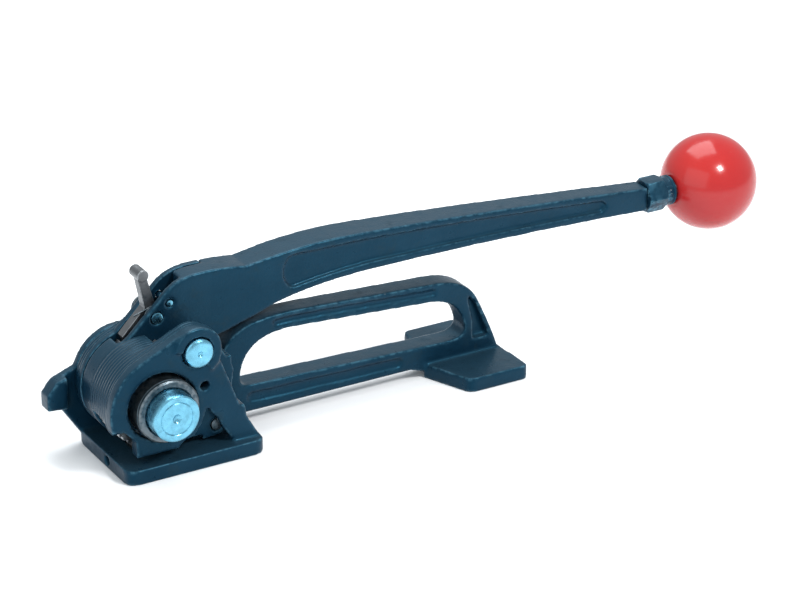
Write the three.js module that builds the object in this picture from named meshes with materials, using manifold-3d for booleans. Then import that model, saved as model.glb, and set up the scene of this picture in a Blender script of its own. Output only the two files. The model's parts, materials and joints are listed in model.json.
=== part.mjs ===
// Feedwheel tensioner for steel strapping, in millimetres.
// A base with two feet and a loop grip carries a housing that can tilt a few degrees on two pivot bolts.
// The housing holds the main shaft with the feedwheel and ratchet wheel, the tension lever and two pawls.
// +X runs along the lever to its knob, -Y is the side of the bright shaft end, +Z is up.
// The origin lies on the resting plane, straight below the main shaft.
import * as THREE from "three";
import { mergeVertices } from "three/addons/utils/BufferGeometryUtils.js";
import Module from "manifold-3d";

const wasm = await Module();
wasm.setup();

// Driving dimensions: axes seen from the -Y side as [x, z]
const SHAFT = [0, 27];
const PIVOT = [14, 47];
const HOLD_PIN = [24, 12];
const DRIVE_PIN = [8, 53.5];
const ANCHOR_PIN = [13.5, 58.5];
const OIL_HOLE = [16.8, 32.2];
const SPRING_EAR = [26, 45.1];
const BASE_SPRING_PIN = [16.6, 37];
const COVER_SCREWS = [[25, 45], [25, 60]];
const GAP = 0.3;

// Layers across the tool as [near y, far y]
const NEAR_WALL = [-17, -12];
const NEAR_CHEEK = [-11.6, -7.6];
const FEED = [-7.2, 4];
const LEVER = [4.4, 16.4];
const SLOT = [7.2, 13.6];
const FAR_CHEEK = [16.8, 19.8];
const FAR_WALL = [20.2, 24];
const GRIP = [3.5, 13.5];

// Base
const FOOT_THICK = 6;
const FOOT = { x0: -18, x1: 40, y0: -21, y1: 24, corner: 4 };
const REAR_FOOT_CORNER = 3;
const WALL_R = 22.5;
const FAR_WALL_R = 19.8;
const PIVOT_BOSS_R = 10;
const FAR_BOSS_R = 7.5;
const STRAP_SLOT_Z = 9;
const LIFT_SHIFT = [-1.8, 1.3];
const BAR_Z = 5;

// Shaft and wheels
const SHAFT_NEAR_Y = -27;
const SHAFT_NEAR_R = 9.5;
const SHAFT_MID_R = 8;
const SHAFT_FAR_R = 6;
const BUSH_R = 12.6;
const FEED_R = 19.4;
const FEED_TEETH = 48;
const RATCHET_R = 18;
const RATCHET_ROOT = 15.6;
const RATCHET_TEETH = 24;
const HUB_R = 20.5;
const RIM_R = 18.7;
const RIM_ARC = [112, 215];
const HOOD_R = 21.5;
const HOOD_WALL = 1.6;
const FAR_CHEEK_R = 20;
const THROAT_X = -7;
const THROAT_Z = 18;
const FEED_KEY = [-6.4, 3.2];
const RATCHET_KEY = [8, 12.8];

// Bolts, pins and screws
const PIVOT_NECK_R = 4;
const PIVOT_BORE_R = PIVOT_NECK_R + GAP;
const NEAR_BOLT = { r: 5.9, head: [-19.4, -12.2], neck: [-12.4, -7.4] };
const FAR_BOLT = { r: 5.2, head: [28.4, 29.8], neck: [16.9, 28.6] };
const HOLD_PIN_R = 2.4;
const DRIVE_PIN_R = 2.3;
const ANCHOR_PIN_R = 1.3;
const EAR_PIN_R = 1.4;
const BASE_PIN_R = 1.5;
const COVER_SCREW_R = 1.6;
const COVER_HEAD_R = 3.2;
const GRIPPER_SCREW_R = 1.6;
const GRIPPER_SCREW_AT = [-2, 3];
const PLUG_HALF = 7;

// Springs: coil radius, wire radius, span across the tool and lengths of the two legs
const HOUSING_SPRING = { centre: PIVOT, r: 5, span: [25.1, 27.5], turns: 1.75, start: 0, legs: [12, 14] };
const HOUSING_WIRE_R = 0.6;
const DRIVE_SPRING = {
  centre: DRIVE_PIN, r: 3.4, span: [7.75, 8.55], turns: 1.05, start: Math.PI / 2, legs: [0, 7],
};
const DRIVE_WIRE_R = 0.35;
const HOLD_SPRING = { centre: HOLD_PIN, r: 4.9, span: [1.6, 6.4], turns: 4, start: 0, legs: [0, 8] };
const HOLD_WIRE_R = 0.5;

// Lever end
const COVER_X = 31;
const SLOT_BACK_X = 19;
const LEVER_END_X = 230;
const LEVER_MID_Y = 10.4;
const STUD = [LEVER_MID_Y, 53.7];
const STUD_R = 2.9;
const STUD_START_X = 216;
const COLLAR = { nutR: 7.4, nutEnd: 239, skirtR: 6.2 };
const KNOB = { x: 263, z: 53.4, r: 20, neckX: 243.8 };

// Finishes
const enamel = { color: 0x16232e, roughness: 0.35, metalness: 0.2 };
const zinc = { color: 0xc9d6dc, roughness: 0.25, metalness: 0.9 };
const steel = { color: 0x6d7176, roughness: 0.4, metalness: 0.9 };
const bronze = { color: 0x8a7356, roughness: 0.45, metalness: 0.8 };
const redPlastic = { color: 0xe0452f, roughness: 0.2, metalness: 0 };

const root = new THREE.Group();

// ---------- solids ----------

function solid(geometry) {
  const bare = geometry.index ? geometry.toNonIndexed() : geometry.clone();
  bare.deleteAttribute("normal");
  bare.deleteAttribute("uv");
  const merged = mergeVertices(bare, 1e-4);
  return new wasm.Manifold(
    new wasm.Mesh({
      numProp: 3,
      vertProperties: merged.attributes.position.array,
      triVerts: new Uint32Array(merged.index.array),
    }),
  );
}

function join(...solids) {
  return solids.reduce((a, b) => a.add(b));
}

function cut(body, ...tools) {
  return tools.reduce((a, b) => a.subtract(b), body);
}

function addNode(name, body, finish) {
  const mesh = body.getMesh();
  const geometry = new THREE.BufferGeometry();
  geometry.setAttribute("position", new THREE.BufferAttribute(new Float32Array(mesh.vertProperties), 3));
  geometry.setIndex(new THREE.BufferAttribute(new Uint32Array(mesh.triVerts), 1));
  geometry.computeVertexNormals();
  const node = new THREE.Mesh(geometry, new THREE.MeshStandardMaterial(finish));
  node.name = name;
  root.add(node);
}

// An outline drawn as [x, z], made solid between two y values
function plate(shape, [y0, y1], steps = 12) {
  const geometry = new THREE.ExtrudeGeometry(shape, {
    depth: y1 - y0,
    bevelEnabled: false,
    curveSegments: steps,
  });
  geometry.rotateX(Math.PI / 2);
  geometry.translate(0, y1, 0);
  return solid(geometry);
}

// An outline drawn as [x, y], made solid between two z values
function slab(shape, z0, z1, steps = 8) {
  const geometry = new THREE.ExtrudeGeometry(shape, {
    depth: z1 - z0,
    bevelEnabled: false,
    curveSegments: steps,
  });
  geometry.translate(0, 0, z0);
  return solid(geometry);
}

function block([x0, x1], [y0, y1], [z0, z1]) {
  const geometry = new THREE.BoxGeometry(x1 - x0, y1 - y0, z1 - z0);
  geometry.translate((x0 + x1) / 2, (y0 + y1) / 2, (z0 + z1) / 2);
  return solid(geometry);
}

// A round bar along Y
function rod([x, z], r, [y0, y1], sides = 32) {
  const geometry = new THREE.CylinderGeometry(r, r, y1 - y0, sides);
  geometry.translate(x, (y0 + y1) / 2, z);
  return solid(geometry);
}

// A round bar along X
function rodX([y, z], r, [x0, x1], sides = 24) {
  const geometry = new THREE.CylinderGeometry(r, r, x1 - x0, sides);
  geometry.rotateZ(Math.PI / 2);
  geometry.translate((x0 + x1) / 2, y, z);
  return solid(geometry);
}

function ring(centre, inner, outer, span, sides = 40) {
  const past = [span[0] - 1, span[1] + 1];
  return cut(rod(centre, outer, span, sides), rod(centre, inner, past, sides));
}

// A round wire along a curve
function wire(curve, r, steps, sides = 6) {
  const section = new THREE.Shape();
  section.absarc(0, 0, r, 0, Math.PI * 2);
  return solid(
    new THREE.ExtrudeGeometry(section, { steps, extrudePath: curve, curveSegments: sides / 2 }),
  );
}

// ---------- outlines ----------

function polygon(points) {
  return new THREE.Shape(points.map(([x, z]) => new THREE.Vector2(x, z)));
}

function cross(o, a, b) {
  return (a[0] - o[0]) * (b[1] - o[1]) - (a[1] - o[1]) * (b[0] - o[0]);
}

// The tight belt round circles given as [[x, z], r]
function belt(circles, sides = 40) {
  const points = [];
  for (const [[x, z], r] of circles) {
    for (let i = 0; i < sides; i++) {
      const a = (2 * Math.PI * i) / sides;
      points.push([x + r * Math.cos(a), z + r * Math.sin(a)]);
    }
  }
  points.sort((a, b) => a[0] - b[0] || a[1] - b[1]);
  const half = (list) => {
    const chain = [];
    for (const p of list) {
      while (chain.length > 1 && cross(chain.at(-2), chain.at(-1), p) <= 1e-9) {
        chain.pop();
      }
      chain.push(p);
    }
    chain.pop();
    return chain;
  };
  return polygon([...half(points), ...half(points.reverse())]);
}

function polar(r, degrees) {
  const a = THREE.MathUtils.degToRad(degrees);
  return [SHAFT[0] + r * Math.cos(a), SHAFT[1] + r * Math.sin(a)];
}

function roundedRectangle({ x0, x1, y0, y1, corner }) {
  const shape = new THREE.Shape();
  shape.absarc(x1 - corner, y0 + corner, corner, -Math.PI / 2, 0);
  shape.absarc(x1 - corner, y1 - corner, corner, 0, Math.PI / 2);
  shape.absarc(x0 + corner, y1 - corner, corner, Math.PI / 2, Math.PI);
  shape.absarc(x0 + corner, y0 + corner, corner, Math.PI, Math.PI * 1.5);
  return shape;
}

function wheelOutline(teeth, profile) {
  const points = [];
  for (let i = 0; i < teeth; i++) {
    const start = (360 * i) / teeth;
    for (const [r, share] of profile) {
      points.push(polar(r, start + (share * 360) / teeth));
    }
  }
  return polygon(points);
}

// ---------- base ----------

// The round opening that lets a shaft end rise with the housing
function liftSlot(r, span) {
  const up = [SHAFT[0] + LIFT_SHIFT[0], SHAFT[1] + LIFT_SHIFT[1]];
  return plate(belt([[SHAFT, r], [up, r]]), [span[0] - 1, span[1] + 1]);
}

function rearLeg() {
  return polygon([[15, 32], [23, 43], [32, 19], [FOOT.x1, FOOT_THICK - 1], [29, FOOT_THICK - 1], [24, 13]]);
}

function nearWall() {
  const body = plate(belt([[SHAFT, WALL_R], [PIVOT, PIVOT_BOSS_R]], 56), NEAR_WALL);
  const past = [NEAR_WALL[0] - 1, NEAR_WALL[1] + 1];
  const throat = plate(polygon([[-40, 22], [-17, 21], [-12.5, 16], [-12, 10], [-14, 0], [-40, 0]]), past);
  const window = plate(polygon([[5.5, 4], [5.5, 9.5], [8, 11.5], [12, 12.5], [15.5, 17.5],
    [17.5, 23.5], [24, 13], [29, 6], [29, 4]]), past);
  const strapSlot = block([-40, 29], past, [0, STRAP_SLOT_Z]);
  const oilHole = rod(OIL_HOLE, 1.9, past, 20);
  const boss = rod(PIVOT, PIVOT_BOSS_R, [NEAR_WALL[0] - 1, NEAR_WALL[1]], 40);
  const wall = cut(body, throat, window, strapSlot);
  const bossPad = cut(boss, rod(SHAFT, WALL_R, past));
  return cut(join(wall, plate(rearLeg(), NEAR_WALL), bossPad), liftSlot(BUSH_R + 0.9, NEAR_WALL), oilHole);
}

function farWall() {
  const drum = rod(SHAFT, FAR_WALL_R, FAR_WALL, 56);
  const boss = plate(belt([[PIVOT, FAR_BOSS_R], [[20, 30], 9]]), FAR_WALL);
  const lugOutline = [[FOOT.x0, 5], [-24.5, 15], [-26, 17.8], [-32.5, 18.6], [-32.5, 24.8],
    [-28.5, 29.6], [-16, 34], [-5, 12], [-5, 5]];
  const lug = plate(polygon(lugOutline), FAR_WALL);
  const pad = polygon([[-24, 17.6], [-32.5, 18.6], [-32.5, 24.8], [-28.5, 29.6], [-24, 31]]);
  const lugPad = plate(pad, [FAR_WALL[0] - 3.2, FAR_WALL[1]]);
  const floor = block([-40, 60], [0, 40], [-30, 1]);
  return join(cut(drum, floor), boss, lug, lugPad, plate(rearLeg(), FAR_WALL));
}

function gripOutline() {
  const outer = new THREE.Shape();
  outer.moveTo(32.8, BAR_Z);
  outer.lineTo(32.8, 28);
  outer.quadraticCurveTo(36, 41, 50, 42.8);
  outer.quadraticCurveTo(58, 44, 67, 43.6);
  outer.lineTo(128, 40.2);
  outer.quadraticCurveTo(143, 39.5, 148, 30);
  outer.quadraticCurveTo(155, 16, 158.5, BAR_Z);
  outer.lineTo(158.5, 1);
  outer.lineTo(130, 1);
  outer.lineTo(118, BAR_Z);
  outer.closePath();
  const opening = new THREE.Path();
  opening.moveTo(42, 20);
  opening.quadraticCurveTo(42, 16.6, 46, 16.5);
  opening.lineTo(134, 13.8);
  opening.quadraticCurveTo(143.5, 13.6, 142.5, 19);
  opening.quadraticCurveTo(140, 31.6, 126, 32.6);
  opening.lineTo(66, 36.6);
  opening.quadraticCurveTo(43, 38, 42, 20);
  outer.holes.push(opening);
  return outer;
}

function rearFootOutline() {
  const shape = new THREE.Shape();
  const c = REAR_FOOT_CORNER;
  shape.moveTo(124, GRIP[0] + 1);
  shape.lineTo(132, -14.5);
  shape.quadraticCurveTo(133, -17, 133 + c, -17);
  shape.lineTo(160 - c, -17);
  shape.quadraticCurveTo(160, -17, 160, -17 + c);
  shape.lineTo(159, GRIP[1]);
  shape.lineTo(157.5, 35 - c);
  shape.quadraticCurveTo(157, 35, 157 - c, 35);
  shape.lineTo(132 + c, 35);
  shape.quadraticCurveTo(132, 35, 131.5, 35 - c);
  shape.lineTo(131, GRIP[1]);
  shape.closePath();
  return shape;
}

function baseCasting() {
  const foot = slab(roundedRectangle(FOOT), 0, FOOT_THICK);
  const web = plate(polygon([[30.4, 5], [FOOT.x1, 5], [34.4, 14], [33.4, 20.5], [31.2, 20.5]]),
    [NEAR_WALL[0], FAR_WALL[1]]);
  const rearFoot = slab(rearFootOutline(), 0, FOOT_THICK);
  const body = join(foot, nearWall(), farWall(), web, plate(gripOutline(), GRIP), rearFoot);
  const plugRoom = PLUG_HALF + GAP;
  const plugPocket = block([-plugRoom, plugRoom], [FEED[0] - 1 - GAP, FEED[1] + GAP], [3, 20]);
  const screwHole = rodX(GRIPPER_SCREW_AT, GRIPPER_SCREW_R + GAP, [FOOT.x0 - 1, -PLUG_HALF], 16);
  return cut(body, plugPocket, screwHole, liftSlot(11, FAR_WALL),
    rod(PIVOT, NEAR_BOLT.r + GAP, [NEAR_WALL[0] - 2, NEAR_WALL[1] + 1]),
    rod(PIVOT, PIVOT_BORE_R, [FAR_WALL[0] - 1, FAR_WALL[1] + 1]),
    rod(BASE_SPRING_PIN, BASE_PIN_R + GAP, [FAR_WALL[0] + 0.8, FAR_WALL[1] + 1], 20));
}

function gripperPlug() {
  const half = PLUG_HALF;
  const points = [[-half, 3 + GAP], [half, 3 + GAP]];
  for (let x = half; x > -half; x -= 2) {
    points.push([x, 6.2]);
    points.push([x - 1, 7]);
  }
  points.push([-half, 6.2]);
  return plate(polygon(points), [FEED[0] - 1, FEED[1]]);
}

function pivotBolt({ r, head, neck }) {
  return join(rod(PIVOT, r, head, 32), rod(PIVOT, PIVOT_NECK_R, neck, 24));
}

// ---------- housing ----------

function cheekOutline(shaftR, pivotR) {
  return belt([[SHAFT, shaftR], [PIVOT, pivotR], [HOLD_PIN, 4.5], [[27, 33], 4.6]], 48);
}

// The part of a plate layer round the shaft between two polar angles less than 180 degrees apart
function wedge([from, to], span) {
  const far = 60;
  const between = [0, 1, 2, 3].map((i) => polar(far, from + ((to - from) * i) / 3));
  return plate(polygon([SHAFT, ...between]), span);
}

function hood() {
  const span = [NEAR_CHEEK[0], FEED[1]];
  const shell = ring(SHAFT, HOOD_R - HOOD_WALL, HOOD_R, span, 64);
  return shell.intersect(wedge([84, 190], span));
}

function housing() {
  const floor = block([-40, 18], [-40, 40], [-30, STRAP_SLOT_Z]);
  const throat = block([-40, THROAT_X], [-40, 40], [-30, THROAT_Z]);
  const near = cut(plate(cheekOutline(HOOD_R, 9), NEAR_CHEEK), floor, throat);
  const far = cut(plate(cheekOutline(FAR_CHEEK_R, 7.2), FAR_CHEEK), floor, throat);
  const bridgeOutline = polygon([[24.8, 29], [30.8, 29], [30.8, 39.3], [24.8, 38]]);
  const bridge = plate(bridgeOutline, [NEAR_CHEEK[0], FAR_CHEEK[1]]);
  const springEar = plate(belt([[SPRING_EAR, 3.6], [PIVOT, 8]], 32), FAR_CHEEK);
  const all = [NEAR_CHEEK[0] - 1, FAR_CHEEK[1] + 1];
  return cut(join(near, far, bridge, springEar, hood()),
    rod(SHAFT, BUSH_R + 0.2, [NEAR_CHEEK[0] - 1, NEAR_CHEEK[1] + 0.2], 40),
    rod(SHAFT, 8.2, [FAR_CHEEK[0] - 1, FAR_CHEEK[1] + 1], 40),
    rod(PIVOT, PIVOT_BORE_R, all), rod(HOLD_PIN, HOLD_PIN_R + GAP, all, 24),
    rod(SPRING_EAR, EAR_PIN_R + GAP, [FAR_CHEEK[0] - 1, FAR_CHEEK[1] + 1], 20));
}

// ---------- shaft ----------

function mainShaft() {
  const body = join(
    rod(SHAFT, SHAFT_NEAR_R, [SHAFT_NEAR_Y, NEAR_CHEEK[1]], 48),
    rod(SHAFT, SHAFT_MID_R, [NEAR_CHEEK[1] - 1, LEVER[1]], 40),
    rod(SHAFT, SHAFT_FAR_R, [LEVER[1] - 1, 26], 32));
  return cut(body, keyBlock(FEED_KEY, GAP), keyBlock(RATCHET_KEY, GAP));
}

// A square key, or with room round it its keyway, between two y values
function keyBlock([y0, y1], room) {
  return block([-2 - room, 2 + room], [y0 - room, y1 + room], [SHAFT[1] + 5.5 - room, SHAFT[1] + 9.8 + room]);
}

function feedwheel() {
  const valley = FEED_R - 0.8;
  const outline = wheelOutline(FEED_TEETH, [[valley, 0], [FEED_R, 0.25], [FEED_R, 0.45], [valley, 0.7]]);
  return cut(plate(outline, FEED), rod(SHAFT, SHAFT_MID_R + 0.2, [-20, 20], 40), keyBlock(FEED, GAP));
}

function ratchetWheel() {
  const span = [SLOT[0] + GAP, SLOT[1] - GAP];
  const outline = wheelOutline(RATCHET_TEETH, [[RATCHET_ROOT, 0], [RATCHET_R, 0], [RATCHET_R - 0.2, 0.12]]);
  return cut(plate(outline, span), rod(SHAFT, SHAFT_MID_R + 0.2, [-20, 20], 40), keyBlock(SLOT, GAP));
}

function hexNut([x, z], across, [y0, y1], bore) {
  const hex = rod([x, z], across / Math.sqrt(3), [y0, y1], 6);
  return cut(hex, rod([x, z], bore, [y0 - 1, y1 + 1], 32));
}

// ---------- lever ----------

function leverOutline() {
  const shape = new THREE.Shape();
  shape.moveTo(-5, 46.9);
  shape.lineTo(9.5, 60.5);
  shape.quadraticCurveTo(15, 67.4, 24, 68);
  shape.quadraticCurveTo(36, 68.6, 46, 66.6);
  shape.quadraticCurveTo(64, 69.8, 84, 69.9);
  shape.quadraticCurveTo(120, 68.8, LEVER_END_X, 58.7);
  shape.lineTo(LEVER_END_X, 48.8);
  shape.quadraticCurveTo(160, 53, 100, 53);
  shape.quadraticCurveTo(76, 52.8, 58, 48.4);
  shape.quadraticCurveTo(44, 43.4, 36, 41.2);
  shape.lineTo(18, 37.2);
  shape.lineTo(0, 30);
  shape.closePath();
  return shape;
}

function leverPlan() {
  const y = LEVER_MID_Y;
  return polygon([[-40, LEVER[0]], [30, LEVER[0]], [60, y - 7], [95, y - 7], [LEVER_END_X, y - 4.6],
    [LEVER_END_X, y + 4.6], [95, y + 7], [60, y + 7], [30, LEVER[1]], [-40, LEVER[1]]]);
}

function leverLayer(span, fromX) {
  const body = plate(leverOutline(), span, 8);
  return fromX === undefined ? body : cut(body, block([-60, fromX], [-40, 60], [-40, 120]));
}

// Bores for the shaft, the drive pawl's pin and the anchor pin
function leverBores() {
  const all = [-20, 40];
  return [rod(SHAFT, 10.3, all, 40), rod(DRIVE_PIN, DRIVE_PIN_R + GAP, all, 24),
    rod(ANCHOR_PIN, ANCHOR_PIN_R + GAP, all, 16)];
}

function tensionLever() {
  const hub = rod(SHAFT, HUB_R, [LEVER[0], SLOT[0]], 56);
  const nearCheek = join(hub, leverLayer([LEVER[0], SLOT[0]]));
  const neck = cut(leverLayer([SLOT[0] - 1, SLOT[1] - GAP], SLOT_BACK_X),
    rod(SHAFT, HUB_R + 0.6, [SLOT[0], 40], 56));
  const arm = leverLayer([1, 20], COVER_X + GAP);
  const rimSpan = [SLOT[0] - 1, SLOT[1] - GAP];
  const rim = ring(SHAFT, RIM_R, HUB_R, rimSpan, 56).intersect(wedge(RIM_ARC, rimSpan));
  const body = join(nearCheek, neck, arm, rim).intersect(slab(leverPlan(), 0, 120));
  return cut(body, ...leverBores(),
    ...COVER_SCREWS.map((at) => rod(at, COVER_SCREW_R + GAP, [8.6, 20], 20)),
    rodX(STUD, STUD_R + GAP, [STUD_START_X - 2, 240]));
}

function leverCover() {
  const hub = rod(SHAFT, HUB_R, [SLOT[1], LEVER[1]], 56);
  const body = cut(join(hub, leverLayer([SLOT[1], LEVER[1]])), block([COVER_X, 400], [0, 40], [0, 120]));
  return cut(body, ...leverBores(),
    ...COVER_SCREWS.map((at) => rod(at, COVER_SCREW_R + GAP, [-20, 40], 20)),
    ...COVER_SCREWS.map((at) => rod(at, COVER_HEAD_R + GAP, [14.9, 20], 24)));
}

function coverScrew(at) {
  return join(rod(at, COVER_SCREW_R, [9, 15.4], 16), rod(at, COVER_HEAD_R, [15.2, 16.3], 24));
}

function drivePawl() {
  const span = [9, SLOT[1] - 0.4];
  const nose = polygon([
    polar(16.7, 101), polar(18.9, 95.5), [4.5, 49.4], [9, 49.6], [5.5, 57.2], polar(20.4, 103)]);
  const tail = belt([[DRIVE_PIN, 2.6], [[6.4, 61], 2.1]], 24);
  const stem = belt([[[6.4, 61], 2.1], [[4.2, 70.4], 1.8]], 24);
  const tab = rod([4.2, 70.4], 2.4, [7.4, 14.8], 20);
  const eye = rod(DRIVE_PIN, 4.4, span, 28);
  const body = join(plate(nose, span), eye, plate(tail, span), plate(stem, span), tab);
  return cut(body, rod(DRIVE_PIN, DRIVE_PIN_R + GAP, [0, 20], 24));
}

function holdingPawl() {
  const span = [SLOT[0] + 0.5, SLOT[1] - 0.5];
  const nose = polygon([
    polar(16.9, -4.2), polar(19.6, -3.2), [27.4, 14.4], [20.2, 13], polar(19.8, -20), polar(18.9, -8.5)]);
  const eye = rod(HOLD_PIN, 4.2, span, 28);
  return cut(join(plate(nose, span), eye), rod(HOLD_PIN, HOLD_PIN_R + GAP, [0, 20], 24));
}

// ---------- springs ----------

// A torsion spring's wire: a straight leg, a coil along Y and a second straight leg, each leg a tangent
class TorsionWire extends THREE.Curve {
  constructor({ centre, r, span, turns, start, legs }) {
    super();
    Object.assign(this, { centre, r, span, turns, start, legs });
    this.coilLength = turns * 2 * Math.PI * r;
    this.total = legs[0] + this.coilLength + legs[1];
  }

  getPoint(t) {
    const along = t * this.total - this.legs[0];
    const onCoil = THREE.MathUtils.clamp(along, 0, this.coilLength);
    const a = this.start + onCoil / this.r;
    const past = along - onCoil;
    const share = onCoil / this.coilLength;
    return new THREE.Vector3(
      this.centre[0] + this.r * Math.cos(a) - past * Math.sin(a),
      this.span[0] + share * (this.span[1] - this.span[0]),
      this.centre[1] + this.r * Math.sin(a) + past * Math.cos(a),
    );
  }
}

function torsionSpring(shape, wireR, steps) {
  return wire(new TorsionWire(shape), wireR, steps);
}

// ---------- knob ----------

function ballKnob() {
  const profile = [];
  const steps = 14;
  for (let i = 0; i <= steps; i++) {
    const a = -Math.PI / 2 + (Math.PI * i) / steps;
    profile.push(new THREE.Vector2(KNOB.r * Math.cos(a), KNOB.r * Math.sin(a)));
  }
  profile[0].x = 0;
  profile[steps].x = 0;
  const ball = new THREE.LatheGeometry(profile, 28);
  ball.rotateZ(-Math.PI / 2);
  ball.translate(KNOB.x, LEVER_MID_Y, KNOB.z);
  const hole = rodX(STUD, STUD_R + 0.5, [KNOB.x - 30, KNOB.x - 2]);
  const flat = block([KNOB.x - 30, KNOB.neckX], [-20, 40], [0, 120]);
  return cut(solid(ball), hole, flat);
}

function knobCollar() {
  const nut = rodX(STUD, COLLAR.nutR, [LEVER_END_X + GAP, COLLAR.nutEnd], 6);
  const skirt = rodX(STUD, COLLAR.skirtR, [COLLAR.nutEnd - 0.5, KNOB.neckX - 0.4], 32);
  return cut(join(nut, skirt), rodX(STUD, STUD_R + 0.4, [200, 280]));
}

// ---------- assembly ----------

addNode("base_casting", baseCasting(), enamel);
addNode("gripper_plug", gripperPlug(), steel);
addNode("gripper_screw", rodX(GRIPPER_SCREW_AT, GRIPPER_SCREW_R, [FOOT.x0 + 2, -PLUG_HALF - GAP], 16), steel);
addNode("near_pivot_bolt", pivotBolt(NEAR_BOLT), zinc);
addNode("far_pivot_bolt", pivotBolt(FAR_BOLT), zinc);
addNode("base_spring_pin", rod(BASE_SPRING_PIN, BASE_PIN_R, [FAR_WALL[0] + 1.2, 27], 20), zinc);

addNode("feedwheel_housing", housing(), enamel);
addNode("near_shaft_bush",
  ring(SHAFT, SHAFT_NEAR_R + 0.1, BUSH_R, [-20.6, NEAR_CHEEK[1] - 0.1], 48), steel);
addNode("far_shaft_bush", ring(SHAFT, SHAFT_FAR_R + 0.1, 8, [16.7, 19.7], 32), bronze);
addNode("housing_spring", torsionSpring(HOUSING_SPRING, HOUSING_WIRE_R, 48), steel);
addNode("housing_spring_pin", rod(SPRING_EAR, EAR_PIN_R, [17.2, 29], 20), zinc);
addNode("holding_pawl_pin", rod(HOLD_PIN, HOLD_PIN_R, [NEAR_CHEEK[0], FAR_CHEEK[1]], 24), zinc);
addNode("holding_pawl_spacer",
  ring(HOLD_PIN, HOLD_PIN_R + GAP, 4, [NEAR_CHEEK[1] + GAP, SLOT[0] + 0.2], 24), steel);

addNode("main_shaft", mainShaft(), zinc);
addNode("feedwheel", feedwheel(), steel);
addNode("ratchet_wheel", ratchetWheel(), steel);
addNode("feedwheel_key", keyBlock(FEED_KEY, 0), steel);
addNode("ratchet_key", keyBlock(RATCHET_KEY, 0), steel);
addNode("shaft_washer", ring(SHAFT, SHAFT_FAR_R + 0.2, 8.6, [20, 21.2], 32), zinc);
addNode("shaft_nut", hexNut(SHAFT, 16, [21.5, 25.4], SHAFT_FAR_R + 0.2), zinc);

addNode("tension_lever", tensionLever(), enamel);
addNode("lever_cover_plate", leverCover(), enamel);
COVER_SCREWS.forEach((at, i) => addNode("cover_screw_" + (i + 1), coverScrew(at), zinc));
addNode("lever_bush_near", ring(SHAFT, SHAFT_MID_R + 0.1, 10, [LEVER[0], SLOT[0]], 40), bronze);
addNode("lever_bush_far", ring(SHAFT, SHAFT_MID_R + 0.1, 10, [SLOT[1], LEVER[1] - 0.2], 40), bronze);
addNode("drive_pawl_pin", rod(DRIVE_PIN, DRIVE_PIN_R, [LEVER[0] - 0.1, LEVER[1]], 24), zinc);
addNode("spring_anchor_pin", rod(ANCHOR_PIN, ANCHOR_PIN_R, [LEVER[0] - 0.1, LEVER[1]], 16), zinc);
addNode("drive_pawl_spring", torsionSpring(DRIVE_SPRING, DRIVE_WIRE_R, 28), steel);
addNode("drive_pawl", drivePawl(), steel);
addNode("holding_pawl", holdingPawl(), steel);
addNode("holding_pawl_spring", torsionSpring(HOLD_SPRING, HOLD_WIRE_R, 64), steel);

addNode("knob_stud", rodX(STUD, STUD_R, [STUD_START_X, KNOB.x - 4]), zinc);
addNode("knob_collar", knobCollar(), enamel);
addNode("ball_knob", ballKnob(), redPlastic);

export default root;
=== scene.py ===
"""The looks of a feedwheel strap tensioner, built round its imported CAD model. Metres, +X towards the knob."""

import json
import math

import bmesh
import bpy
from mathutils import Matrix, Vector

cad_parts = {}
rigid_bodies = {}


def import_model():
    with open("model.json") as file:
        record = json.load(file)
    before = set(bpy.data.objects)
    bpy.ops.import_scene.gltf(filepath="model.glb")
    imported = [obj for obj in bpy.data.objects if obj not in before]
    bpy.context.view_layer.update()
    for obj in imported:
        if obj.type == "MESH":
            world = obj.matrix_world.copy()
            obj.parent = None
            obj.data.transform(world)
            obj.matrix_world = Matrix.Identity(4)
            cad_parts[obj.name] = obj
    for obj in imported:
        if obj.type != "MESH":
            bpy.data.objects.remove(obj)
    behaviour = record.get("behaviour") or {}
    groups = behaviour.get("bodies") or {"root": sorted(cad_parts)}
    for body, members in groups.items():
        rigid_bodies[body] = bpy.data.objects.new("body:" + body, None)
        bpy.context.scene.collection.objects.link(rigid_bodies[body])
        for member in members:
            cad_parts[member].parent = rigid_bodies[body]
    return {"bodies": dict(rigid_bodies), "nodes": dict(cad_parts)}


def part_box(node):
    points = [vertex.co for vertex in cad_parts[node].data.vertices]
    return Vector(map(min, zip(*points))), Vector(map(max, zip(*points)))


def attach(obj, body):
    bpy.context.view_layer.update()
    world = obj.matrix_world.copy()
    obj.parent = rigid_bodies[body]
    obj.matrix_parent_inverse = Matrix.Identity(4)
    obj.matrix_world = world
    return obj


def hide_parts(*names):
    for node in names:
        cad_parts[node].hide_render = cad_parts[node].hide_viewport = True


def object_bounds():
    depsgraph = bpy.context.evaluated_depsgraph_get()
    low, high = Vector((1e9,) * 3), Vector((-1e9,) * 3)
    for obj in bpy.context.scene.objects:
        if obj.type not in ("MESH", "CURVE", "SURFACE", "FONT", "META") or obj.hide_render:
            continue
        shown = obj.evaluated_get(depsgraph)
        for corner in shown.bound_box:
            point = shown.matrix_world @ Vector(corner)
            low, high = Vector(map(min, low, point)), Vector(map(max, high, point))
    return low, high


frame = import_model()
cad_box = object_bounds()
MM = 0.001


# ---------- measures taken from the frame ----------


def centre_of(node):
    lo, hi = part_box(node)
    return (lo + hi) / 2


def ends_of(node, axis):
    lo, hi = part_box(node)
    return lo[axis], hi[axis]


SHAFT = centre_of("main_shaft")
PIVOT = centre_of("near_pivot_bolt")
HOLD_PIN = centre_of("holding_pawl_pin")
DRIVE_PIN = centre_of("drive_pawl_pin")
KNOB = centre_of("ball_knob")
STUD = centre_of("knob_stud")


# ---------- materials ----------


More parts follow.
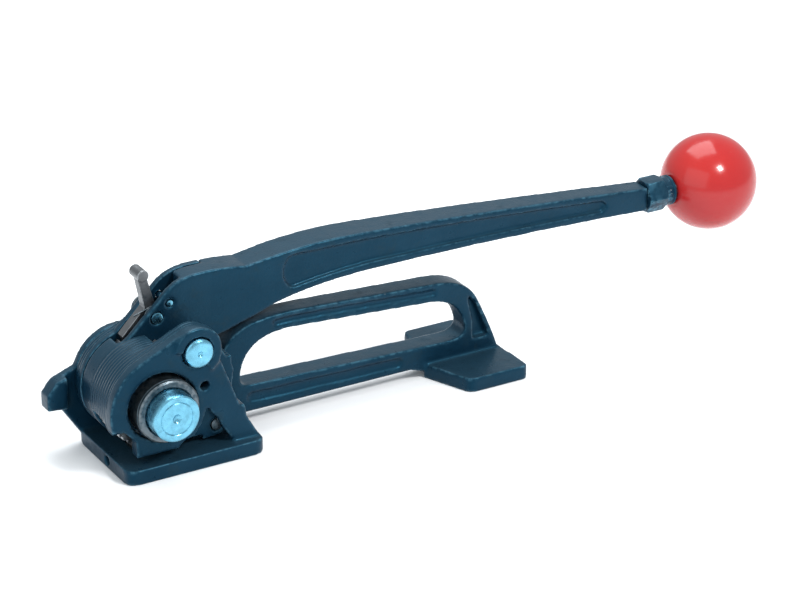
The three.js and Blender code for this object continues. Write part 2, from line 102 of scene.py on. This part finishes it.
class Nodes:
    """A material's node tree, with short calls for its nodes and links."""

    def __init__(self, name):
        self.material = bpy.data.materials.new(name)
        self.material.use_nodes = True
        self.tree = self.material.node_tree
        self.shader = self.tree.nodes["Principled BSDF"]
        self.place = self.tree.nodes.new("ShaderNodeTexCoord").outputs["Object"]

    def set(self, **values):
        for socket, value in values.items():
            self.shader.inputs[socket.replace("_", " ")].default_value = value
        return self

    def link(self, output, name):
        self.tree.links.new(output, self.shader.inputs[name])

    def moved(self, scale=(1, 1, 1), turn=(0, 0, 0), shift=(0, 0, 0)):
        node = self.tree.nodes.new("ShaderNodeMapping")
        node.inputs["Scale"].default_value = scale
        node.inputs["Rotation"].default_value = turn
        node.inputs["Location"].default_value = shift
        self.tree.links.new(self.place, node.inputs["Vector"])
        return node.outputs["Vector"]

    def noise(self, scale, detail=3.0, rough=0.5, vector=None):
        node = self.tree.nodes.new("ShaderNodeTexNoise")
        node.inputs["Scale"].default_value = scale
        node.inputs["Detail"].default_value = detail
        node.inputs["Roughness"].default_value = rough
        self.tree.links.new(vector or self.place, node.inputs["Vector"])
        return node.outputs["Fac"]

    def bands(self, scale):
        """Even bands across the Y axis."""
        node = self.tree.nodes.new("ShaderNodeTexWave")
        node.bands_direction = "Y"
        node.inputs["Scale"].default_value = scale
        node.inputs["Distortion"].default_value = 0.0
        self.tree.links.new(self.place, node.inputs["Vector"])
        return node.outputs["Fac"]

    def rings(self, scale, vector):
        """Slightly uneven rings round a Y axis."""
        node = self.tree.nodes.new("ShaderNodeTexWave")
        node.wave_type = "RINGS"
        node.rings_direction = "Y"
        node.inputs["Scale"].default_value = scale
        node.inputs["Distortion"].default_value = 0.6
        node.inputs["Detail Scale"].default_value = 4.0
        self.tree.links.new(vector, node.inputs["Vector"])
        return node.outputs["Fac"]

    def edges(self, low=0.5, high=0.6):
        """Nearly 1 on outer edges and corners."""
        node = self.tree.nodes.new("ShaderNodeNewGeometry")
        return self.spread(node.outputs["Pointiness"], low, high)

    def top_light_mask(self):
        node = self.tree.nodes.new("ShaderNodeNewGeometry")
        split = self.tree.nodes.new("ShaderNodeSeparateXYZ")
        self.tree.links.new(node.outputs["Normal"], split.inputs[0])
        return self.spread(split.outputs["Z"], 0.2, 0.95)

    def spread(self, value, low, high, to_low=0.0, to_high=1.0):
        node = self.tree.nodes.new("ShaderNodeMapRange")
        for i, number in enumerate((low, high, to_low, to_high)):
            node.inputs[1 + i].default_value = number
        self.tree.links.new(value, node.inputs[0])
        return node.outputs[0]

    def math(self, operation, a, b):
        node = self.tree.nodes.new("ShaderNodeMath")
        node.operation = operation
        for socket, value in zip(node.inputs, (a, b)):
            if isinstance(value, (int, float)):
                socket.default_value = value
            else:
                self.tree.links.new(value, socket)
        return node.outputs[0]

    def blend(self, share, a, b):
        node = self.tree.nodes.new("ShaderNodeMix")
        node.data_type = "RGBA"
        self.tree.links.new(share, node.inputs[0])
        for socket, value in ((node.inputs[6], a), (node.inputs[7], b)):
            if isinstance(value, tuple):
                socket.default_value = (*value, 1.0)
            else:
                self.tree.links.new(value, socket)
        return node.outputs[2]

    def bump(self, *layers):
        """Each layer is a height, its depth in metres and its strength."""
        normal = None
        for height, depth, strength in layers:
            node = self.tree.nodes.new("ShaderNodeBump")
            node.inputs["Strength"].default_value = strength
            node.inputs["Distance"].default_value = depth
            self.tree.links.new(height, node.inputs["Height"])
            if normal is not None:
                self.tree.links.new(normal, node.inputs["Normal"])
            normal = node.outputs["Normal"]
        self.link(normal, "Normal")


def cast_enamel(name, ribs=False):
    """Blue-black enamel over a cast skin, with a painted highlight on its up-facing faces, lighter edges that
    are partly wear and partly a painted edge highlight, a few chips and dusty patches.
    """
    m = Nodes(name)
    m.set(Metallic=0.0, IOR=1.5, Coat_Weight=0.02, Coat_Roughness=0.1, Specular_IOR_Level=0.32,
          Specular_Tint=(0.12, 0.62, 1.0, 1.0))
    cloud = m.spread(m.noise(38, 4.0), 0.35, 0.65)
    base = m.blend(cloud, (0.0020, 0.013, 0.027), (0.0045, 0.020, 0.038))
    # Faces that turn upwards are painted lighter: painted light from above, not a colour of the enamel.
    top = m.blend(m.top_light_mask(), base, (0.010, 0.030, 0.048))
    grime = m.spread(m.noise(160, 5.0, 0.6), 0.56, 0.72, 0.0, 0.6)
    dusty = m.blend(grime, top, (0.008, 0.018, 0.026))
    # Outer edges are painted a lighter blue: partly rubbed enamel, partly a painted highlight along the edges.
    lighter_edges = m.math("MULTIPLY", m.edges(0.515, 0.56), m.spread(m.noise(420, 3.0, 0.6), 0.42, 0.6))
    rubbed = m.blend(m.math("MULTIPLY", lighter_edges, 0.55), dusty, (0.09, 0.22, 0.30))
    chips = m.math("MULTIPLY", m.edges(0.53, 0.57), m.spread(m.noise(700, 2.0), 0.70, 0.74))
    m.link(m.blend(chips, rubbed, (0.22, 0.25, 0.27)), "Base Color")
    m.link(m.math("ADD", m.spread(m.noise(240, 4.0), 0.3, 0.7, 0.26, 0.42), m.math("MULTIPLY", grime, 0.2)),
           "Roughness")
    skin = m.noise(900, 3.0, 0.55)
    waves = m.noise(190, 2.0, 0.5)
    layers = [(waves, 0.00035, 0.35), (skin, 0.00016, 0.45)]
    if ribs:
        layers.insert(0, (m.bands(190), 0.0003, 0.5))
    m.bump(*layers)
    return m.material


def plated(name, tint=(0.17, 0.46, 0.62), centre=None):
    """Bright zinc plate, turned: fine rings round its axis and a faint mottled bloom."""
    m = Nodes(name)
    m.set(Metallic=1.0, Specular_IOR_Level=0.5)
    bloom = m.spread(m.noise(330, 3.0), 0.35, 0.7)
    dark = tuple(c * 0.72 for c in tint)
    m.link(m.blend(bloom, tint, dark), "Base Color")
    m.link(m.spread(m.noise(500, 4.0), 0.3, 0.7, 0.2, 0.36), "Roughness")
    layers = [(m.noise(1500, 3.0), 0.00004, 0.4)]
    if centre is not None:
        around = m.moved(shift=(-centre.x, 0, -centre.z))
        layers.insert(0, (m.rings(900, around), 0.00005, 0.35))
    m.bump(*layers)
    return m.material


def tool_steel(name, tint=(0.17, 0.18, 0.19), shine=0.8):
    """Hardened steel with an oiled dark skin, brighter where it is rubbed."""
    m = Nodes(name)
    m.set(Metallic=0.95, Specular_IOR_Level=0.5)
    patch = m.spread(m.noise(210, 5.0, 0.6), 0.35, 0.7)
    base = m.blend(patch, tint, tuple(c * 0.75 for c in tint))
    lighter_edges = m.math("MULTIPLY", m.edges(0.51, 0.57), m.spread(m.noise(600, 3.0), 0.35, 0.55))
    m.link(m.blend(m.math("MULTIPLY", lighter_edges, shine), base, (0.42, 0.45, 0.47)), "Base Color")
    m.link(m.spread(m.noise(380, 4.0), 0.3, 0.7, 0.3, 0.5), "Roughness")
    scratches = m.noise(420, 2.0, 0.5, m.moved(scale=(1, 0.12, 1)))
    m.bump((scratches, 0.00008, 0.3), (m.noise(1400, 3.0), 0.00005, 0.4))
    return m.material


def bush_bronze(name):
    """Turned bronze with brown tarnish in patches."""
    m = Nodes(name)
    m.set(Metallic=0.9)
    patch = m.spread(m.noise(260, 4.0), 0.35, 0.7)
    m.link(m.blend(patch, (0.36, 0.25, 0.14), (0.17, 0.11, 0.06)), "Base Color")
    m.link(m.spread(m.noise(420, 3.0), 0.3, 0.7, 0.32, 0.5), "Roughness")
    m.bump((m.noise(1200, 2.0), 0.00005, 0.4))
    return m.material


def knob_plastic(name):
    """Glossy moulded red plastic with a slightly deeper skin in places and a fine orange peel."""
    m = Nodes(name)
    m.set(Roughness=0.2, IOR=1.5, Coat_Weight=0.2, Coat_Roughness=0.04, Specular_IOR_Level=0.3)
    cloud = m.spread(m.noise(26, 3.0), 0.35, 0.65)
    base = m.blend(cloud, (0.40, 0.019, 0.017), (0.34, 0.015, 0.017))
    streaks = m.noise(900, 3.0, 0.6, m.moved(scale=(1, 0.08, 1), turn=(0.4, 0.2, 0.7)))
    scuff = m.spread(streaks, 0.70, 0.80, 0.0, 0.25)
    m.link(m.blend(scuff, base, (0.72, 0.20, 0.16)), "Base Color")
    m.link(m.spread(m.noise(150, 3.0), 0.3, 0.7, 0.14, 0.26), "Roughness")
    m.bump((m.noise(260, 2.0), 0.00012, 0.12), (m.noise(1900, 2.0), 0.00002, 0.3))
    return m.material


def floor_paper(name):
    m = Nodes(name)
    m.set(Roughness=0.9, Specular_IOR_Level=0.1)
    m.link(m.blend(m.noise(9, 3.0), (0.93, 0.935, 0.94), (0.96, 0.962, 0.965)), "Base Color")
    m.bump((m.noise(800, 3.0), 0.0001, 0.1))
    return m.material


ENAMEL = cast_enamel("cast_enamel")
RIBBED = cast_enamel("ribbed_enamel", ribs=True)
ZINC = plated("turned_zinc", centre=SHAFT)
BOLT_ZINC = plated("bolt_zinc", centre=PIVOT)
PLAIN_ZINC = plated("plain_zinc")
STEEL = tool_steel("tool_steel")
DARK_STEEL = tool_steel("oiled_steel", (0.055, 0.085, 0.105), 0.25)
BRONZE = bush_bronze("bush_bronze")
RED = knob_plastic("knob_plastic")


# ---------- making pieces ----------


def body_of(node):
    for body, empty in frame["bodies"].items():
        if frame["nodes"][node].parent == empty:
            return body
    raise SystemExit("no body for " + node)


def finish_piece(mesh, name, node, material, smooth_angle=40):
    """Puts a mesh into the scene in place of a CAD node, on that node's body."""
    mesh.materials.clear()
    mesh.materials.append(material)
    mesh.shade_smooth()
    if smooth_angle:
        mesh.set_sharp_from_angle(angle=math.radians(smooth_angle))
    piece = bpy.data.objects.new(name, mesh)
    bpy.context.scene.collection.objects.link(piece)
    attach(piece, body_of(node))
    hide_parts(node)
    return piece


def to_mesh(bm, name):
    bmesh.ops.remove_doubles(bm, verts=bm.verts, dist=1e-6)
    bmesh.ops.recalc_face_normals(bm, faces=bm.faces)
    mesh = bpy.data.meshes.new(name)
    bm.to_mesh(mesh)
    bm.free()
    return mesh


def turned(name, centre, axis, profile, steps=64):
    """A turned mesh. The profile is (radius, distance along the axis) pairs in millimetres."""
    bm = bmesh.new()
    out = Vector((0, 0, 1))
    along = Vector((0, 1, 0)) if axis == "Y" else Vector((1, 0, 0))
    line = [bm.verts.new(out * r * MM + along * t * MM) for r, t in profile]
    edges = [bm.edges.new(pair) for pair in zip(line, line[1:])]
    bmesh.ops.spin(bm, geom=line + edges, cent=(0, 0, 0), axis=along, angle=math.tau, steps=steps,
                   use_merge=True)
    base = Vector((centre.x, 0, centre.z)) if axis == "Y" else Vector((0, centre.y, centre.z))
    bmesh.ops.translate(bm, verts=bm.verts, vec=base)
    return to_mesh(bm, name)


def prism(outline, y0, y1):
    """A solid from an outline of (x, z) pairs in millimetres, between two y values in millimetres."""
    bm = bmesh.new()
    face = bm.faces.new([bm.verts.new((x * MM, y0 * MM, z * MM)) for x, z in outline])
    moved = bmesh.ops.extrude_face_region(bm, geom=[face])["geom"]
    verts = [v for v in moved if isinstance(v, bmesh.types.BMVert)]
    bmesh.ops.translate(bm, verts=verts, vec=(0, (y1 - y0) * MM, 0))
    return bm


def bar(points, width):
    """An outline that follows points (x, z), with a half width at each side and round ends."""
    upper = [(x, z + width) for x, z in points]
    lower = [(x, z - width) for x, z in reversed(points)]
    turns = [math.pi / 2 - math.pi * i / 6 for i in range(1, 6)]
    (x0, z0), (x1, z1) = points[0], points[-1]
    right = [(x1 + width * math.cos(a), z1 + width * math.sin(a)) for a in turns]
    left = [(x0 - width * math.cos(a), z0 - width * math.sin(a)) for a in turns]
    return upper + right + lower + left


def bow(a, b, c, count=9):
    """Points on the quadratic curve from a to c that is pulled towards b."""
    spots = []
    for i in range(count):
        t = i / (count - 1)
        spots.append(tuple((1 - t) ** 2 * p + 2 * t * (1 - t) * q + t * t * r for p, q, r in zip(a, b, c)))
    return spots


def temporary(mesh_or_bm, name):
    mesh = mesh_or_bm
    if isinstance(mesh_or_bm, bmesh.types.BMesh):
        mesh = to_mesh(mesh_or_bm, name)
    thing = bpy.data.objects.new(name, mesh)
    bpy.context.scene.collection.objects.link(thing)
    return thing


def settled(thing):
    """The mesh with its modifiers applied."""
    depsgraph = bpy.context.evaluated_depsgraph_get()
    depsgraph.update()
    return bpy.data.meshes.new_from_object(thing.evaluated_get(depsgraph))


def boolean(thing, operation, tool):
    cut = thing.modifiers.new(operation.lower(), "BOOLEAN")
    cut.operation = operation
    cut.object = tool
    cut.solver = "EXACT"


def rounded(thing, width):
    """Rounds the sharp edges by a width in millimetres."""
    soft = thing.modifiers.new("rounded", "BEVEL")
    soft.width = width * MM
    soft.segments = 2
    soft.angle_limit = math.radians(35)


def settled_alone(thing, *tools):
    """The mesh with its modifiers applied, once the objects that made it are gone."""
    mesh = settled(thing)
    for old in (thing, *tools):
        bpy.data.objects.remove(old)
    return mesh


def node_copy(node):
    source = frame["nodes"][node]
    bm = bmesh.new()
    bm.from_mesh(source.data)
    bmesh.ops.remove_doubles(bm, verts=bm.verts, dist=1e-6)
    mesh = bpy.data.meshes.new(node + "_copy")
    bm.to_mesh(mesh)
    bm.free()
    return mesh


def softened(node, voxel, passes, pockets=(), keep=1.0):
    """A CAD node's shape with cast corners: pockets cut, then skinned evenly, smoothed and thinned out."""
    thing = temporary(node_copy(node), node + "_work")
    helpers = [temporary(pocket, "helper") for pocket in pockets]
    for helper in helpers:
        boolean(thing, "DIFFERENCE", helper)
    skin = thing.modifiers.new("skin", "REMESH")
    skin.mode = "VOXEL"
    skin.voxel_size = voxel * MM
    skin.adaptivity = 0.0
    relax = thing.modifiers.new("relax", "SMOOTH")
    relax.factor = 0.5
    relax.iterations = passes
    if keep < 1.0:
        thin = thing.modifiers.new("thin", "DECIMATE")
        thin.ratio = keep
    return settled_alone(thing, *helpers)


def wire(name, points, radius):
    """A round wire through points, with a smooth skin and closed ends."""
    curve = bpy.data.curves.new(name, "CURVE")
    curve.dimensions = "3D"
    curve.bevel_depth = radius * MM
    curve.bevel_resolution = 4
    curve.use_fill_caps = True
    spline = curve.splines.new("POLY")
    spline.points.add(len(points) - 1)
    for spot, (x, y, z) in zip(spline.points, points):
        spot.co = (x * MM, y * MM, z * MM, 1)
    thing = bpy.data.objects.new(name, curve)
    bpy.context.scene.collection.objects.link(thing)
    return settled_alone(thing)


def torsion_path(centre, r, y0, y1, turns, start, legs, per_turn=40):
    """A straight leg, a coil round a Y axis and a second straight leg, all in millimetres."""
    cx, cz = centre.x / MM, centre.z / MM
    count = round(turns * per_turn)
    points = []
    if legs[0]:
        points.append((cx + r * math.cos(start) + legs[0] * math.sin(start), y0,
                       cz + r * math.sin(start) - legs[0] * math.cos(start)))
    for i in range(count + 1):
        a = start + math.tau * turns * i / count
        points.append((cx + r * math.cos(a), y0 + (y1 - y0) * i / count, cz + r * math.sin(a)))
    if legs[1]:
        a = start + math.tau * turns
        points.append((cx + r * math.cos(a) - legs[1] * math.sin(a), y1,
                       cz + r * math.sin(a) + legs[1] * math.cos(a)))
    return points


# ---------- castings ----------


def base_casting():
    """The base, with channels along its bars and a hollow in the grip's rear leg."""
    lower_run = [(47, 10.9), (112, 9.6)]
    upper_run = bow((58, 40.2), (66, 40.6), (128, 36.4))
    leg = [(143.6, 32), (147.0, 28.6), (151.6, 17.6), (153.5, 12.2), (146.4, 12.2), (146.2, 20)]
    pockets = []
    for y0, y1 in ((0, 4.6), (12.4, 17)):
        pockets.append(prism(bar(lower_run, 2.3), y0, y1))
        pockets.append(prism(bar(upper_run, 1.5), y0, y1))
        inner = (0, 6.4) if y0 == 0 else (10.6, 17)
        pockets.append(prism(leg, *inner))
    return softened("base_casting", 0.6, 9, pockets, keep=0.5)


def tension_lever():
    """The lever, a forging with a channel along each side of its arm."""
    top = bow((66, 66.8), (84, 66.6), (100, 66.2), 4)[:-1] + bow((100, 66.2), (148, 63.6), (208, 57.8))
    bottom = bow((208, 53.2), (156, 55.8), (104, 56.2)) + bow((96, 56.2), (80, 55.6), (66, 53.4), 4)
    left_end = bow((64.2, 53.8), (58.6, 60.4), (64.2, 66.4), 6)
    mid = centre_of("knob_stud").y / MM
    pockets = []
    for side in (-1, 1):
        channel = prism(top + [(210.4, 55.6)] + bottom + left_end, 0, 1)
        for v in channel.verts:
            x = v.co.x / MM
            half = 7 if x < 95 else 7 - 2.4 * (x - 95) / 135
            reach = half - 1.5 if v.co.y > 0.5 * MM else half + 3
            v.co.y = (mid + side * reach) * MM
        bmesh.ops.recalc_face_normals(channel, faces=channel.faces)
        pockets.append(channel)
    return softened("tension_lever", 0.48, 12, pockets, keep=0.75)


finish_piece(base_casting(), "base_cast", "base_casting", ENAMEL, 0)
finish_piece(tension_lever(), "lever_forging", "tension_lever", ENAMEL, 0)
finish_piece(softened("feedwheel_housing", 0.42, 6, keep=0.7), "housing_cast", "feedwheel_housing",
             RIBBED, 0)
finish_piece(softened("lever_cover_plate", 0.4, 6), "lever_cover", "lever_cover_plate", ENAMEL, 0)
finish_piece(softened("drive_pawl", 0.25, 3), "drive_pawl_forged", "drive_pawl", STEEL, 0)
finish_piece(softened("holding_pawl", 0.25, 3), "holding_pawl_forged", "holding_pawl", STEEL, 0)


# ---------- turned pieces ----------


def shaft():
    near, far = (v / MM for v in ends_of("main_shaft", 1))
    return turned("shaft", SHAFT, "Y", [
        (0, near + 1.5), (1.5, near + 0.4), (1.9, near + 0.1), (6.2, near), (6.5, near + 0.2), (6.8, near),
        (8.7, near), (9.3, near + 0.35), (9.5, near + 0.9), (9.5, -7.8), (8.2, -7.4), (8, -7), (8, 15.8),
        (7.8, 16.2), (6.2, 16.4), (6, 16.8), (6, far - 0.7), (5.3, far), (0, far)], 96)


def bush(node, inner, outer, chamfer=0.5, groove=False):
    near, far = (v / MM for v in ends_of(node, 1))
    profile = [(inner, near + chamfer), (inner + chamfer, near),
               (outer - chamfer, near), (outer, near + chamfer)]
    if groove:
        floor_r = outer - 0.4
        profile += [(outer, near + 1.3), (floor_r, near + 1.5), (floor_r, near + 1.9), (outer, near + 2.1)]
    profile += [(outer, far - chamfer), (outer - chamfer, far),
                (inner + chamfer, far), (inner, far - chamfer), (inner, near + chamfer)]
    return turned(node, SHAFT, "Y", profile, 80)


def pin(node, centre, r, chamfer=0.3):
    near, far = (v / MM for v in ends_of(node, 1))
    return turned(node, centre, "Y", [
        (0, near), (r - chamfer, near), (r - chamfer * 0.3, near + chamfer * 0.3), (r, near + chamfer),
        (r, far - chamfer), (r - chamfer, far), (0, far)], 40)


def near_pivot_bolt():
    near, far = (v / MM for v in ends_of("near_pivot_bolt", 1))
    return turned("near_pivot_bolt", PIVOT, "Y", [
        (0, near + 0.9), (0.9, near + 0.25), (1.2, near + 0.05), (4.2, near), (5.2, near + 0.25),
        (5.7, near + 0.7), (5.9, near + 1.3), (5.9, -12.4), (5.7, -12.2), (4.2, -12.2), (4, -12),
        (4, far - 0.5), (3.5, far), (0, far)], 72)


def far_pivot_bolt():
    near, far = (v / MM for v in ends_of("far_pivot_bolt", 1))
    return turned("far_pivot_bolt", PIVOT, "Y", [
        (0, near), (3.5, near), (4, near + 0.5), (4, 28.2), (4.3, 28.4), (4.9, 28.4), (5.2, 28.7),
        (5.2, far - 0.5), (4.6, far - 0.1), (3.6, far), (2, far), (1.8, far - 0.5), (0, far - 0.5)], 64)


def washer():
    near, far = (v / MM for v in ends_of("shaft_washer", 1))
    return turned("shaft_washer", SHAFT, "Y", [
        (6.2, near), (8.4, near), (8.6, near + 0.2), (8.6, far - 0.2), (8.4, far), (6.2, far),
        (6.2, near)], 64)


def hexagon(centre, axis, corner, lo, hi):
    """A plain hexagon bar between two places on an axis, which are in metres."""
    bm = bmesh.new()
    bmesh.ops.create_cone(bm, cap_ends=True, segments=6, radius1=corner * MM, radius2=corner * MM,
                          depth=hi - lo)
    swing = Matrix.Rotation(math.pi / 2, 4, "X" if axis == "Y" else "Y")
    bmesh.ops.transform(bm, verts=bm.verts, matrix=swing)
    middle = (lo + hi) / 2
    place = (centre.x, middle, centre.z) if axis == "Y" else (middle, centre.y, centre.z)
    bmesh.ops.translate(bm, verts=bm.verts, vec=place)
    return bm


def nut():
    """The shaft's nut, a hexagon whose corners are rounded off at both faces."""
    lo, hi = ends_of("shaft_nut", 1)
    flat, bore = 8, 6.2
    corner = flat * 2 / math.sqrt(3)
    near, far = lo / MM, hi / MM
    rise = (corner - flat) * 0.6
    edge = corner + 0.2
    thing = temporary(hexagon(SHAFT, "Y", corner, lo, hi), "nut_work")
    keep = temporary(turned("keep", SHAFT, "Y", [
        (bore, near), (flat * 0.97, near), (corner, near + rise), (edge, near + rise + 0.2),
        (edge, far - rise - 0.2), (corner, far - rise), (flat * 0.97, far), (bore, far), (bore, near)],
        72), "keep_work")
    boolean(thing, "INTERSECT", keep)
    rounded(thing, 0.12)
    return settled_alone(thing, keep)


def cover_screw(node):
    """A cheese-head screw with a slot."""
    centre = centre_of(node)
    near, far = (v / MM for v in ends_of(node, 1))
    body = temporary(turned(node, centre, "Y", [
        (0, near), (1.3, near), (1.6, near + 0.3), (1.6, 15.2), (3.0, 15.2), (3.2, 15.4), (3.2, far - 0.3),
        (2.9, far), (0, far)], 40), "screw_work")
    x, z = centre.x / MM, centre.z / MM
    slot = prism([(x - 4, z - 0.4), (x + 4, z - 0.4), (x + 4, z + 0.4), (x - 4, z + 0.4)], far - 0.5, far + 1)
    tool = temporary(slot, "slot_work")
    boolean(body, "DIFFERENCE", tool)
    return settled_alone(body, tool)


# Node, piece, bore and outer radius, chamfer, whether it has a groove, finish and slot
BUSHES = (
    ("near_shaft_bush", "near_bush", 9.65, 12.6, 0.6, True, DARK_STEEL, "steel"),
    ("far_shaft_bush", "far_bush", 6.15, 8, 0.3, False, BRONZE, "bronze"),
    ("lever_bush_near", "lever_bush_a", 8.15, 10, 0.3, False, BRONZE, "bronze"),
    ("lever_bush_far", "lever_bush_b", 8.15, 10, 0.3, False, BRONZE, "bronze"),
)
PINS = (
    ("drive_pawl_pin", 2.3, PLAIN_ZINC),
    ("spring_anchor_pin", 1.3, PLAIN_ZINC),
    ("housing_spring_pin", 1.4, PLAIN_ZINC),
    ("base_spring_pin", 1.5, PLAIN_ZINC),
    ("holding_pawl_pin", 2.4, DARK_STEEL),
)

finish_piece(shaft(), "shaft_turned", "main_shaft", ZINC, 30)
for node, name, inner, outer, chamfer, groove, finish, slot in BUSHES:
    finish_piece(bush(node, inner, outer, chamfer, groove), name, node, finish, 30)
finish_piece(near_pivot_bolt(), "pivot_bolt_a", "near_pivot_bolt", BOLT_ZINC, 30)
finish_piece(far_pivot_bolt(), "pivot_bolt_b", "far_pivot_bolt", DARK_STEEL, 30)
finish_piece(washer(), "washer", "shaft_washer", PLAIN_ZINC, 30)
finish_piece(nut(), "nut", "shaft_nut", PLAIN_ZINC, 30)
for node, radius, finish in PINS:
    finish_piece(pin(node, centre_of(node), radius), node + "_turned", node, finish, 30)
for node in ("cover_screw_1", "cover_screw_2"):
    finish_piece(cover_screw(node), node + "_slotted", node, PLAIN_ZINC, 30)


# ---------- springs ----------

# Node, piece, coil centre and radius, its two y values, turns, start angle, the two legs and wire radius
SPRINGS = (
    ("housing_spring", "housing_spring_wire", PIVOT, 5, 25.1, 27.5, 1.75, 0, (12, 14), 0.6),
    ("drive_pawl_spring", "drive_spring_wire", DRIVE_PIN, 3.4, 7.75, 8.55, 1.05, math.pi / 2, (0, 7), 0.35),
    ("holding_pawl_spring", "holding_spring_wire", HOLD_PIN, 4.9, 1.6, 6.4, 4, 0, (0, 8), 0.5),
)
for node, name, *path, radius in SPRINGS:
    finish_piece(wire(name, torsion_path(*path), radius), name, node, DARK_STEEL, 50)


# ---------- knob ----------


def ball():
    """The ball with a flat at its neck and a faint moulding line round its middle."""
    lo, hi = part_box("ball_knob")
    r = (hi.z - lo.z) / 2 / MM
    x = hi.x / MM - r
    neck = math.asin(6.9 / r)
    flat = x - r * math.cos(neck)
    profile = [(3.4, x - 6), (3.4, flat + 0.5), (3.9, flat), (6.0, flat)]
    steps = 48
    for i in range(steps + 1):
        a = neck + 0.02 + (math.pi - neck - 0.02) * i / steps
        lift = 0.05 * math.exp(-(((a - math.pi / 2) * r / 0.35) ** 2)) - 0.05
        profile.append((max((r + lift) * math.sin(a), 0), x - (r + lift) * math.cos(a)))
    profile[-1] = (0, profile[-1][1])
    profile.insert(0, (0, x - 6))
    return turned("ball", Vector((0, KNOB.y, KNOB.z)), "X", profile, 128)


def collar():
    """A hexagon with rounded corners and a round skirt up to the ball."""
    lo, hi = (v / MM for v in ends_of("knob_collar", 0))
    hex_end, corner, skirt_r = 239, 7.4, 6.2
    edge = corner + 0.1
    place = Vector((0, STUD.y, STUD.z))
    thing = temporary(hexagon(place, "X", corner, lo * MM, hex_end * MM), "collar_work")
    keep = temporary(turned("keep", place, "X", [
        (0, lo), (6.4, lo), (edge, lo + 0.9), (edge, hex_end - 0.9), (6.4, hex_end), (0, hex_end)],
        72), "keep_work")
    boolean(thing, "INTERSECT", keep)
    skirt = temporary(turned("skirt", place, "X", [
        (0, hex_end - 1), (skirt_r, hex_end - 1), (skirt_r, hi - 1.8), (5.9, hi - 1.5), (5.9, hi - 1.2),
        (skirt_r, hi - 0.9), (skirt_r, hi - 0.3), (5.9, hi), (0, hi)], 72), "skirt_work")
    boolean(thing, "UNION", skirt)
    rounded(thing, 0.2)
    return settled_alone(thing, keep, skirt)


finish_piece(ball(), "ball", "ball_knob", RED, 50)
finish_piece(collar(), "collar", "knob_collar", ENAMEL, 30)


# ---------- CAD nodes that stay ----------

KEPT = {
    STEEL: ("gripper_plug", "feedwheel", "ratchet_wheel", "holding_pawl_spacer"),
    DARK_STEEL: ("gripper_screw", "feedwheel_key", "ratchet_key"),
    PLAIN_ZINC: ("knob_stud",),
}
for finish, names in KEPT.items():
    for name in names:
        for place in frame["nodes"][name].material_slots:
            place.material = finish


# ---------- floor, light and camera ----------

# Camera angles in degrees, its lens in millimetres and its distance and aim in metres
CAMERA_AZIMUTH = -30
CAMERA_ELEVATION = 25
CAMERA_LENS = 150
CAMERA_DISTANCE = 1.31
AIM_SHIFT = (-0.010, 0.004, -0.002)

centre = (cad_box[0] + cad_box[1]) / 2


def floor():
    bm = bmesh.new()
    bmesh.ops.create_grid(bm, x_segments=1, y_segments=1, size=6)
    bmesh.ops.translate(bm, verts=bm.verts, vec=(0, 0, cad_box[0].z))
    thing = temporary(bm, "floor")
    thing.data.materials.append(floor_paper("floor_paper"))


def softbox(name, direction, distance, size, energy, tint=(1, 1, 1)):
    lamp = bpy.data.lights.new(name, "AREA")
    lamp.shape = "RECTANGLE"
    lamp.size, lamp.size_y = size
    lamp.energy = energy
    lamp.color = tint
    thing = bpy.data.objects.new(name, lamp)
    bpy.context.scene.collection.objects.link(thing)
    away = Vector(direction).normalized()
    thing.location = centre + away * distance
    thing.rotation_euler = away.to_track_quat("Z", "Y").to_euler()


def daylight():
    world = bpy.data.worlds.new("studio")
    world.use_nodes = True
    world.node_tree.nodes["Background"].inputs["Color"].default_value = (0.93, 0.97, 1.0, 1.0)
    world.node_tree.nodes["Background"].inputs["Strength"].default_value = 0.7
    bpy.context.scene.world = world
    bpy.context.scene.view_settings.view_transform = "Standard"


def camera():
    azimuth, elevation = math.radians(CAMERA_AZIMUTH), math.radians(CAMERA_ELEVATION)
    back = Vector((math.sin(azimuth) * math.cos(elevation), -math.cos(azimuth) * math.cos(elevation),
                   math.sin(elevation)))
    lens = bpy.data.cameras.new("camera")
    lens.lens = CAMERA_LENS
    lens.clip_start = 0.05
    thing = bpy.data.objects.new("camera", lens)
    bpy.context.scene.collection.objects.link(thing)
    aim = centre + Vector(AIM_SHIFT)
    thing.location = aim + back * CAMERA_DISTANCE
    thing.rotation_euler = back.to_track_quat("Z", "Y").to_euler()
    bpy.context.scene.camera = thing


floor()
daylight()
softbox("key", (0.21, -0.64, 0.74), 0.85, (0.16, 0.16), 5.0)
softbox("top", (0.1, 0.35, 0.95), 0.9, (0.7, 0.7), 7.0, (0.95, 0.98, 1.0))
softbox("left_fill", (-0.9, -0.4, 0.5), 1.1, (1.3, 0.9), 4.0, (0.90, 0.97, 1.0))
camera()
